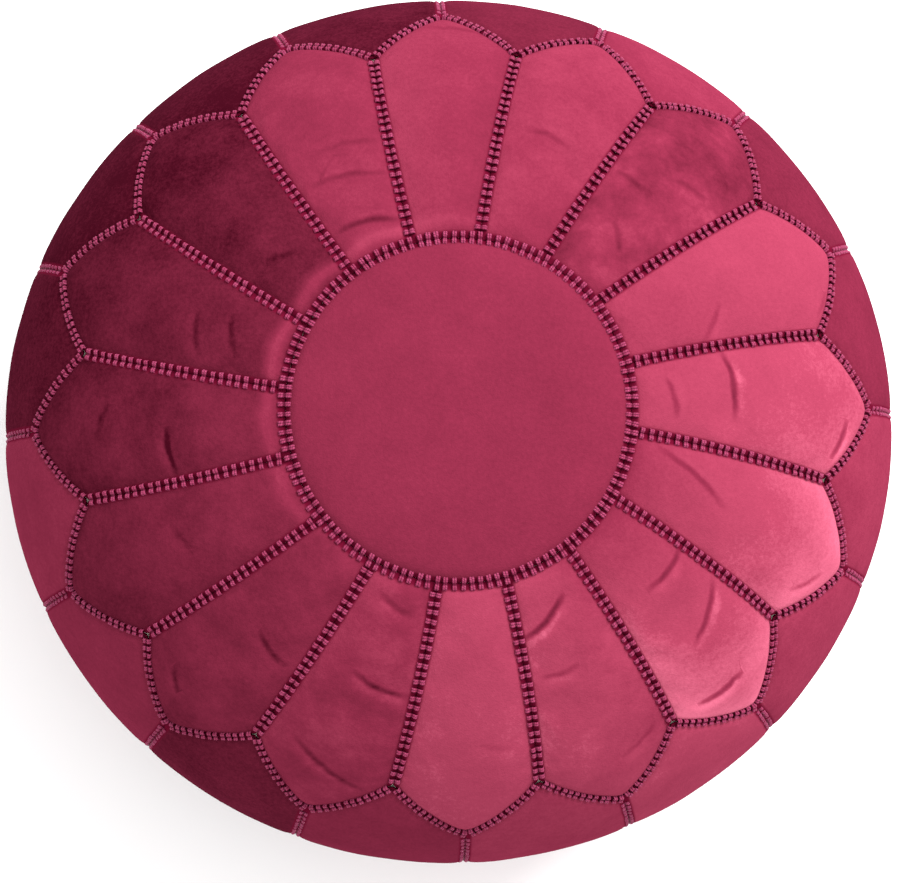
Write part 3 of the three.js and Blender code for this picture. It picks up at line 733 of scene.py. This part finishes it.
def half_base(name, side):
    rows = BASE_ROWS + len(HEM_ROWS)
    cloth, across, along = cut_cloth(name, BASE_COLUMNS, rows)
    x = BASE_REACH * np.cos(math.pi * across) * INSIDE_RIM
    rim = np.sqrt(BASE_REACH**2 - x**2)
    opened = eased((TAPE_ENDS + OPENING_SPARE - np.abs(x)) / OPENING_END)
    edge = MIDDLE_GAP + opened * (HEM_FOLD - MIDDLE_GAP)
    row = np.round(along * rows)
    share = np.clip(row / BASE_ROWS, 0, 1)
    share = share + ROW_CROWDING * np.sin(math.pi * share) * (1 - share)
    inward, up = (np.array([0, *(pair[i] for pair in HEM_ROWS)]) * MM for i in (0, 1))
    hem = np.clip(row - BASE_ROWS, 0, len(HEM_ROWS)).astype(int)
    flat_edge = edge + HEM_ROUNDING * opened
    y = rim + (np.minimum(flat_edge, rim) - rim) * share
    y = np.where(hem > 0, np.minimum(edge, rim) - inward[hem] * opened, y)
    reach = WHOLE_REACH - np.hypot(x, y)
    gap = np.maximum(BASE_REACH - np.hypot(x, y), 0)
    rise = -SEAM_DRAW * (1 - fullness([gap], SEAM_TURN))
    points = on_cover(np.arctan2(side * y, side * x), reach, rise)
    points[:, 2] += up[hem] * opened
    set_points(cloth, points)
    note(cloth, "gap", gap / MM)
    # painted seam shade beside the base's rim seam
    note(cloth, "crushed", gap / MM)
    note(cloth, "along", along)
    note(cloth, "across", across)
    return close_up(cloth)


bases = [half_base("velvet_base_front", -1), half_base("velvet_base_back", 1)]
for base in bases:
    pile(base, BASE_TONE, BASE_TONE, BASE_MOTTLE)
    finish_with(base, "SUBSURF", levels=1, render_levels=1)
    finish_with(base, "SOLIDIFY", thickness=VELVET_THICKNESS, offset=-1)
    smooth(base)
    print(base.name, "lowest point", round(points_of(base)[:, 2].min() * 1000, 2), "mm")

# %% [markdown]
# ## Inner bag and filling
# The stuffing is kept in a bag of plain cotton, so that the cover can be taken off. Neither
# shows, but both are there: the bag is a closed sheet that lies just inside the cover and
# passes over the zip, and the filling is a lumpy mass of fibre that it is tight round.

# %% Bag and filling
BAG_DEPTH = 4.7 * MM
FILLING_DEPTH = 7.6 * MM
BAG_THICKNESS = 0.8 * MM
# over the zip the bag and the filling are raised: half the length and width, and how far it fades
ZIP_ROOM = (133 * MM, 18 * MM)
ZIP_ROOM_EDGE = 8 * MM
BAG_COLUMNS, BAG_ROWS = 96, 80


def inside_cover(name, depth, lumps, lump_size, zip_top, seed):
    """A closed form that is depth inside the cover, uneven by lumps, and no lower over the zip."""
    cloth, across, along = cut_cloth(name, BAG_COLUMNS, BAG_ROWS)
    reach = along * WHOLE_REACH
    rise = -depth - lumps * np.abs(wander(on_cover(across * 2 * math.pi, reach), lump_size, seed))
    points = on_cover(across * 2 * math.pi, reach, rise)
    room = 1.0
    for i, half in enumerate(ZIP_ROOM):
        room = room * eased((half + ZIP_ROOM_EDGE - np.abs(points[:, i])) / ZIP_ROOM_EDGE)
    low = points[:, 2] < WIDEST_HEIGHT
    points[low, 2] = np.maximum(points[:, 2], zip_top * room)[low]
    set_points(cloth, points)
    return smooth(close_up(cloth))


bag = inside_cover("cotton_bag", BAG_DEPTH, lumps=0.5 * MM, lump_size=30 * MM,
                   zip_top=12.6 * MM, seed=210)
finish_with(bag, "SOLIDIFY", thickness=BAG_THICKNESS, offset=-1)
filling = inside_cover("fibre_filling", FILLING_DEPTH, lumps=1.2 * MM, lump_size=22 * MM,
                       zip_top=15.5 * MM, seed=230)

# %% [markdown]
# ## Zip
# Each side of the zip is a woven tape with a row of moulded teeth along its edge. One tooth is
# modelled as a block with rounded edges and a narrow neck, and copies of it stand along the
# tape. The other side's teeth are half a step further on, so that they would fit between.

# %% Tapes and teeth
TOOTH_STEP = 2.1 * MM
TOOTH_LENGTH = 1.25 * MM
TOOTH_NECK = 0.62
TOOTH_BEVEL = 0.16 * MM
TAPE_COLUMNS, TAPE_ROWS = 90, 8
TAPE_WAVE = 0.12 * MM


def tape(name, node):
    low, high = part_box(node)
    strip, across, along = cut_cloth(name, TAPE_COLUMNS, TAPE_ROWS)
    x = low.x + (high.x - low.x) * across
    y = high.y + (low.y - high.y) * along
    z = low.z + 0.05 * MM + TAPE_WAVE * np.sin(x / (7 * MM)) * np.cos(y / (5 * MM))
    set_points(strip, np.stack([x, y, z], axis=1))
    finish_with(strip, "SOLIDIFY", thickness=high.z - low.z - 0.2 * MM, offset=1)
    return smooth(strip)


def model_tooth(low, high):
    """One tooth of a row, at x = 0, with its head towards the middle of the zip."""
    put_down()
    size = (TOOTH_LENGTH, high.y - low.y, high.z - low.z)
    bpy.ops.mesh.primitive_cube_add(size=1)
    tooth = bpy.context.object
    tooth.scale = size
    tooth.location = (0, (low.y + high.y) / 2, (low.z + high.z) / 2)
    bpy.ops.object.transform_apply(location=True, rotation=True, scale=True)
    bpy.ops.object.mode_set(mode="EDIT")
    bpy.ops.mesh.select_all(action="SELECT")
    bpy.ops.mesh.subdivide(number_cuts=1)
    bpy.ops.object.mode_set(mode="OBJECT")
    points = points_of(tooth)
    neck = np.abs(points[:, 1] - (low.y + high.y) / 2) < 0.1 * MM
    points[neck, 0] *= TOOTH_NECK
    set_points(tooth, points)
    return finish_with(tooth, "BEVEL", width=TOOTH_BEVEL, segments=1, limit_method="ANGLE")


def tooth_row(name, node, start):
    low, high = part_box(node)
    tooth = model_tooth(low, high)
    model = points_of(tooth)
    faces = [list(face.vertices) for face in tooth.data.polygons]
    bpy.data.objects.remove(tooth)
    places = np.arange(low.x + TOOTH_LENGTH + start, high.x - TOOTH_LENGTH, TOOTH_STEP)
    points = np.concatenate([model + np.array([x, 0, 0]) for x in places])
    made = [[i + n * len(model) for i in face] for n in range(len(places)) for face in faces]
    mesh = bpy.data.meshes.new(name)
    mesh.from_pydata(points.tolist(), [], made)
    row = bpy.data.objects.new(name, mesh)
    bpy.context.scene.collection.objects.link(row)
    print(name, len(places), "teeth of", len(faces), "faces")
    return row


tapes = [tape(f"tape_{side}", f"zip_tape_{side}") for side in ("front", "back")]
teeth = [tooth_row("teeth_front", "zip_teeth_front", 0),
         tooth_row("teeth_back", "zip_teeth_back", TOOTH_STEP / 2)]

# %% [markdown]
# ## Slider, pull tab and stops
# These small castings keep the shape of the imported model, so each starts as a copy of it. The
# copy's loose triangles are merged, its flat faces are made whole, and its edges are rounded,
# because cast metal has no sharp edges. The pull tab gets a sunk grip on both faces.

# %% Castings
FLAT_WITHIN, EDGES_FROM, SMOOTH_WITHIN = (math.radians(degrees) for degrees in (2, 40, 35))
GRIP_RIM = 0.9 * MM
GRIP_DEPTH = 0.22 * MM


def casting(name, node, edge):
    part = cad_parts[node].copy()
    part.data = part.data.copy()
    part.parent = None
    for key in list(part.keys()):
        del part[key]
    part.name = part.data.name = name
    bpy.context.scene.collection.objects.link(part)
    close_up(part)
    bpy.ops.object.mode_set(mode="EDIT")
    bpy.ops.mesh.select_all(action="SELECT")
    bpy.ops.mesh.dissolve_limited(angle_limit=FLAT_WITHIN)
    bpy.ops.object.mode_set(mode="OBJECT")
    if "tab" in name:
        sink_grip(part)
    finish_with(part, "BEVEL", width=edge, segments=2, limit_method="ANGLE",
                angle_limit=EDGES_FROM)
    take_up(part)
    bpy.ops.object.shade_smooth_by_angle(angle=SMOOTH_WITHIN)
    return part


def sink_grip(part):
    """Insets the two broad faces of the tab and presses them in a little."""
    take_up(part)
    bpy.ops.object.mode_set(mode="EDIT")
    bpy.ops.mesh.select_mode(type="FACE")
    bpy.ops.mesh.select_all(action="DESELECT")
    bpy.ops.object.mode_set(mode="OBJECT")
    broad = sorted(part.data.polygons, key=lambda face: -face.area)[:2]
    for face in broad:
        face.select = True
    bpy.ops.object.mode_set(mode="EDIT")
    bpy.ops.mesh.inset(thickness=GRIP_RIM, depth=-GRIP_DEPTH, use_individual=True)
    bpy.ops.object.mode_set(mode="OBJECT")


slider = casting("slider", "zip_slider", 0.28 * MM)
pull_tab = casting("pull_tab", "zip_pull_tab", 0.2 * MM)
stops = [casting(node.replace("zip_", ""), node, 0.3 * MM)
         for node in ("zip_bottom_stop", "zip_top_stop_front", "zip_top_stop_back")]
print("slider", len(slider.data.polygons), "faces, pull tab", len(pull_tab.data.polygons))

# %% [markdown]
# ## Writing materials as sums
# A material is a net of nodes. Written out one link at a time it is hard to read, so a wire
# stands for one socket, and adding or multiplying wires adds the Math nodes. Colours are mixed
# by a Mix node, because a Math node would turn them grey.

# %% Wires and finishes
class Wire:
    def __init__(self, tree, socket):
        self.tree, self.socket = tree, socket

    def math(self, operation, *others):
        node = self.tree.nodes.new("ShaderNodeMath")
        node.operation = operation
        for socket, value in zip(node.inputs, [self, *others]):
            plug(self.tree, socket, value)
        return Wire(self.tree, node.outputs[0])

    def __add__(self, other):
        return self.math("ADD", other)

    def __mul__(self, other):
        return self.math("MULTIPLY", other)

    def __sub__(self, other):
        return self.math("SUBTRACT", other)

    def __rsub__(self, other):
        return (self * -1) + other

    __radd__ = __add__
    __rmul__ = __mul__

    def from_to(self, low, high):
        """0 at low, 1 at high, and smooth between."""
        node = self.tree.nodes.new("ShaderNodeMapRange")
        node.interpolation_type = "SMOOTHSTEP"
        for name, value in (("Value", self), ("From Min", low), ("From Max", high)):
            plug(self.tree, node.inputs[name], value)
        return Wire(self.tree, node.outputs["Result"])


def plug(tree, socket, value):
    if isinstance(value, Wire):
        tree.links.new(value.socket, socket)
    elif hasattr(value, "__len__") and len(value) == 3 and len(socket.default_value) == 4:
        socket.default_value = (*value, 1)
    else:
        socket.default_value = value


class Finish:
    def __init__(self, name, **constants):
        self.material = bpy.data.materials.new(name)
        self.material.use_nodes = True
        self.tree = self.material.node_tree
        self.shader = self.tree.nodes["Principled BSDF"]
        self.set(**constants)

    def set(self, **values):
        for name, value in values.items():
            plug(self.tree, self.shader.inputs[name.replace("_", " ")], value)

    def node(self, kind, out=0, settings=(), **sockets):
        node = self.tree.nodes.new("ShaderNode" + kind)
        for name, value in dict(settings).items():
            setattr(node, name, value)
        for name, value in sockets.items():
            plug(self.tree, node.inputs[name.replace("_", " ")], value)
        return Wire(self.tree, node.outputs[out])

    def noted(self, name):
        return self.node("Attribute", "Fac", {"attribute_name": name})

    def noise(self, size, detail=2.0, stretch=None, **more):
        where = self.node("TexCoord", "Object")
        if stretch:
            where = self.node("Mapping", Vector=where, Scale=stretch)
        return self.node("TexNoise", "Fac", Vector=where, Scale=1 / size, Detail=detail, **more)

    def mix(self, share, a, b):
        node = self.tree.nodes.new("ShaderNodeMix")
        node.data_type = "RGBA"
        plug(self.tree, node.inputs["Factor"], share)
        plug(self.tree, node.inputs[6], a)
        plug(self.tree, node.inputs[7], b)
        return Wire(self.tree, node.outputs[2])

    def shades(self, value, *stops):
        """A ramp through (place, colour) stops."""
        node = self.tree.nodes.new("ShaderNodeValToRGB")
        elements = node.color_ramp.elements
        while len(elements) < len(stops):
            elements.new(0.5)
        for element, (place, colour) in zip(elements, stops):
            element.position = place
            element.color = (*colour, 1)
        plug(self.tree, node.inputs["Fac"], value)
        return Wire(self.tree, node.outputs["Color"])

    def bump(self, height, distance, strength=1.0):
        self.set(Normal=self.node("Bump", Height=height, Distance=distance, Strength=strength))

    def on(self, *pieces):
        for piece in pieces:
            piece.data.materials.clear()
            piece.data.materials.append(self.material)


def dye(red, green, blue):
    """A colour given as on a dyer's card, 0 to 255, as light."""
    card = [c / 255 for c in (red, green, blue)]
    return tuple(c / 12.92 if c <= 0.04045 else ((c + 0.055) / 1.055) ** 2.4 for c in card)


# %% [markdown]
# ## Velvet
# Velvet is a short upright pile. It has next to no gloss, it is dark where the light looks down
# into the pile and pale where it catches the pile's sides, and it keeps soft cloudy marks where
# a hand has brushed it. The tone comes from the panel, with its painted light and shade, and the
# clouds from two sizes of noise. Painted shade darkens each fold's hollow and a painted highlight
# lies along its ridge, and beside the lacing painted shade turns the pile a deep wine colour.

# %% Velvet
velvet = Finish("velvet", Roughness=0.92, Sheen_Weight=0.03, Sheen_Roughness=0.4,
                Sheen_Tint=(*dye(240, 110, 150), 1), Specular_IOR_Level=0.0)
clouds = velvet.noise(34 * MM, 3.0, Roughness=0.55)
brushed = velvet.noise(9 * MM, 2.0, stretch=(1, 1, 2.2))
tufts = velvet.noise(2.2 * MM, 3.0, Roughness=0.6)
fine_pile = velvet.noise(0.8 * MM, 2.0)
# the panel's tone read here holds painted light and shade as well as the pile's own tone
panel_tone_and_light, mottle, fold = (velvet.noted(name) for name in ("tone", "mottle", "fold"))
grain = 0.30 - panel_tone_and_light * 0.2
tone = panel_tone_and_light + (clouds - 0.5) * (mottle * 0.75 + 0.06)
tone = tone + (brushed - 0.5) * (mottle * 0.25 + 0.03)
tone = tone + (tufts - 0.5) * grain + (fine_pile - 0.5) * (grain * 0.5)
off_fold = velvet.noted("off_fold") + (brushed - 0.5) * 2
# painted shade along each fold's hollow and a painted highlight along its ridge, on top of the real
# hollow and ridge in the cloth
painted_fold_shade = off_fold.math("ABSOLUTE").from_to(3.0, 0.2) * fold
painted_fold_highlight = (off_fold - 5).math("ABSOLUTE").from_to(5, 0.5) * fold
tone = tone - painted_fold_shade * 0.42 + painted_fold_highlight * 0.16
pile_colour = velvet.shades(
    tone,
    (0.0, dye(52, 6, 19)),
    (0.5, dye(111, 33, 54)),
    (0.75, dye(136, 49, 71)),
    (1.0, dye(188, 91, 115)),
)
# painted shade in the seam grooves beside and between the rungs, as pile crushed to a deep wine
# colour
crushed = velvet.noted("crushed").from_to(4.6, 2.6)
velvet.set(Base_Color=velvet.mix(crushed, pile_colour, dye(88, 11, 34)))
velvet.bump(fine_pile + brushed * 0.6 + tufts, 0.35 * MM, 0.6)
velvet.on(*panels, *bases)

# %% [markdown]
# ## Thread
# The thread is a plied, polished yarn of a mauve pink, much glossier than the velvet. Its ply
# runs round each strand, so the pattern follows the number kept along the strand: painted shade
# in the ply's grooves and paler colour on its ridges. Shade is also painted where the strands dip
# over the seam.

# %% Thread
thread = Finish("lacing_thread", Roughness=0.5, Specular_IOR_Level=0.1,
                Specular_Tint=(*dye(255, 150, 190), 1))
# the ply's ridges for the bump, and painted shade in its grooves for the colour
ply_ridges_and_shade = (thread.noted("ply") * (2 * math.pi)).math("SINE") * 0.5 + 0.5
uneven = thread.noise(7 * MM, 2.0)
thread_colour = thread.mix(ply_ridges_and_shade, dye(114, 39, 65), dye(146, 60, 91))
thread_colour = thread.mix(uneven.from_to(0.35, 0.7) * 0.5, thread_colour, dye(116, 34, 60))
# painted shade where the strands dip over the seam between their two lobes
painted_dip_shade = thread.noted("from_seam").from_to(0.3, 0.05) * 0.8
thread.set(Base_Color=thread.mix(painted_dip_shade, thread_colour, dye(70, 8, 30)))
thread.bump(ply_ridges_and_shade, 0.10 * MM, 0.3)
thread.on(medallion_lacing, petal_lacing, wall_lacing)

# %% [markdown]
# ## Zip, bag and filling finishes
# The tape is a herringbone weave, whose rows lean one way and then the other. The teeth are
# moulded nylon of the same colour, and the slider is nickel with fine scratches. The bag is a
# plain weave, and the filling is white fibre, all soft clumps.

# %% Tape, teeth, nickel, cotton and fibre
weave = Finish("zip_tape", Roughness=0.85, Sheen_Weight=0.1, Sheen_Roughness=0.5)
x, y, z = (weave.node("SeparateXYZ", i, Vector=weave.node("TexCoord", "Object")) for i in range(3))
zigzag_row = (y * (1 / (2.4 * MM))).math("PINGPONG", 1.0)
yarn = ((x * (1 / (0.9 * MM)) + zigzag_row * 2.2) * (2 * math.pi)).math("SINE") * 0.5 + 0.5
weave.set(Base_Color=weave.mix(yarn, dye(66, 10, 28), dye(104, 22, 48)))
weave.bump(yarn, 0.12 * MM, 0.7)
weave.on(*tapes)

nylon = Finish("zip_teeth", Roughness=0.36, Specular_IOR_Level=0.5)
moulded = nylon.noise(0.6 * MM, 2.0)
nylon.set(Base_Color=nylon.mix(moulded, dye(112, 22, 52), dye(132, 30, 64)))
nylon.bump(moulded, 0.03 * MM, 0.5)
nylon.on(*teeth)

nickel = Finish("zip_metal", Metallic=1.0)
scratches = nickel.noise(1.2 * MM, 4.0, stretch=(0.12, 1, 1))
nickel.set(Base_Color=nickel.mix(scratches, dye(176, 172, 166), dye(206, 204, 198)),
           Roughness=scratches * 0.25 + 0.16)
nickel.bump(scratches, 0.02 * MM, 0.4)
nickel.on(slider, pull_tab, *stops)

cotton = Finish("bag_cotton", Roughness=0.95)
x, y, z = (cotton.node("SeparateXYZ", i, Vector=cotton.node("TexCoord", "Object")) for i in range(3))
threads = ((x + z) * (2 * math.pi / (1.1 * MM))).math("SINE")
threads = threads * ((y + z) * (2 * math.pi / (1.1 * MM))).math("SINE") * 0.5 + 0.5
cotton.set(Base_Color=cotton.mix(threads, dye(214, 204, 186), dye(236, 229, 214)))
cotton.bump(threads, 0.1 * MM, 0.5)
cotton.on(bag)

fibre = Finish("fibre", Roughness=1.0, Sheen_Weight=0.2)
clumps = fibre.noise(14 * MM, 4.0)
fibre.set(Base_Color=fibre.mix(clumps, dye(226, 222, 214), dye(246, 245, 242)))
fibre.bump(clumps, 2 * MM, 0.6)
fibre.on(filling)

# %% [markdown]
# ## Floor, light and camera
# The pouf stands on a plain white floor in soft light: a large lamp high on one side, and an
# even sky that fills the shadows. The camera looks almost straight down at it.

# %% Floor, lamps and sky
bpy.context.scene.view_settings.view_transform = "Standard"
put_down()
bpy.ops.mesh.primitive_plane_add(size=12)
floor = bpy.context.object
floor.name = "floor"
paint = Finish("floor_paint", Roughness=0.9, Specular_IOR_Level=0.1)
paint.set(Base_Color=paint.mix(paint.noise(0.5), dye(242, 242, 242), dye(246, 246, 246)))
paint.on(floor)

MIDDLE = Vector((0, 0, WIDEST_HEIGHT))


def lamp(name, azimuth, elevation, distance, size, power):
    """A square lamp that faces the pouf. Azimuth 0 is towards +X, and 90 towards +Y."""
    light = bpy.data.lights.new(name, "AREA")
    light.size, light.energy = size, power
    holder = bpy.data.objects.new(name, light)
    bpy.context.scene.collection.objects.link(holder)
    a, e = math.radians(azimuth), math.radians(elevation)
    towards = Vector((math.cos(a) * math.cos(e), math.sin(a) * math.cos(e), math.sin(e)))
    holder.location = MIDDLE + towards * distance
    holder.rotation_mode = "QUATERNION"
    holder.rotation_quaternion = towards.to_track_quat("Z", "Y")


lamp("key_lamp", azimuth=48, elevation=46, distance=2.6, size=1.5, power=120)
sky = bpy.data.worlds.new("sky")
bpy.context.scene.world = sky
sky.use_nodes = True
sky.node_tree.nodes["Background"].inputs["Color"].default_value = (1, 1, 1, 1)
sky.node_tree.nodes["Background"].inputs["Strength"].default_value = 1.4

# %% Camera
CAMERA_DISTANCE = 1.6
CAMERA_LEAN_LEFT = math.radians(1.86)
CAMERA_LEAN_NEAR = math.radians(4.15)
CAMERA_LENS = 102.8
CAMERA_SHIFT = -0.0139

back = Vector((-math.tan(CAMERA_LEAN_LEFT), -math.tan(CAMERA_LEAN_NEAR), 1)).normalized()
right = Vector((0, 1, 0)).cross(back).normalized()
turned = Matrix((right, back.cross(right), back)).transposed()
eye = bpy.data.cameras.new("camera")
eye.lens, eye.sensor_width, eye.shift_y = CAMERA_LENS, 36, CAMERA_SHIFT
camera = bpy.data.objects.new("camera", eye)
bpy.context.scene.collection.objects.link(camera)
camera.matrix_world = Matrix.Translation(MIDDLE + back * CAMERA_DISTANCE) @ turned.to_4x4()
bpy.context.scene.camera = camera

# %% [markdown]
# ## Standing for the CAD pieces
# Every new piece rides on the body of the sub-part it stands for, and hides that sub-part.


def stand_for(piece, nodes, body="root"):
    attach(piece, body)
    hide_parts(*nodes)


def cut_area(pattern, places=200):
    """The flat area of a panel, as the sum of the small pieces between a grid of places on it."""
    t = np.linspace(0, 1, places)
    across, along = (grid.ravel() for grid in np.meshgrid(t, t))
    angle, reach, _, _ = pattern(0, across, along)
    corners = on_cover(angle, reach).reshape(places, places, 3)
    sides = np.cross(corners[1:, :-1] - corners[:-1, :-1], corners[:-1, 1:] - corners[:-1, :-1])
    return float(np.linalg.norm(sides, axis=2).sum())


stand_for(medallion, ["medallion"])
for k in range(PETAL_COUNT):
    stand_for(petals[k], [f"petal_{k + 1:02d}"])
    stand_for(walls[k], [f"wall_panel_{k + 1:02d}"])
for lacing, node in ((medallion_lacing, "medallion_lacing"), (petal_lacing, "petal_lacing"),
                     (wall_lacing, "wall_lacing")):
    stand_for(lacing, [node])
stand_for(bag, ["inner_bag"])
stand_for(filling, ["filling"])
for i, side in enumerate(("front", "back")):
    stand_for(bases[i], [f"base_half_{side}"])
    stand_for(tapes[i], [f"zip_tape_{side}"])
    stand_for(teeth[i], [f"zip_teeth_{side}"])
for stop in stops:
    stand_for(stop, ["zip_" + stop.name])
stand_for(slider, ["zip_slider"], "slider")
stand_for(pull_tab, ["zip_pull_tab"], "pull_tab")

petal_area, wall_area = cut_area(petal_pattern), cut_area(wall_pattern)
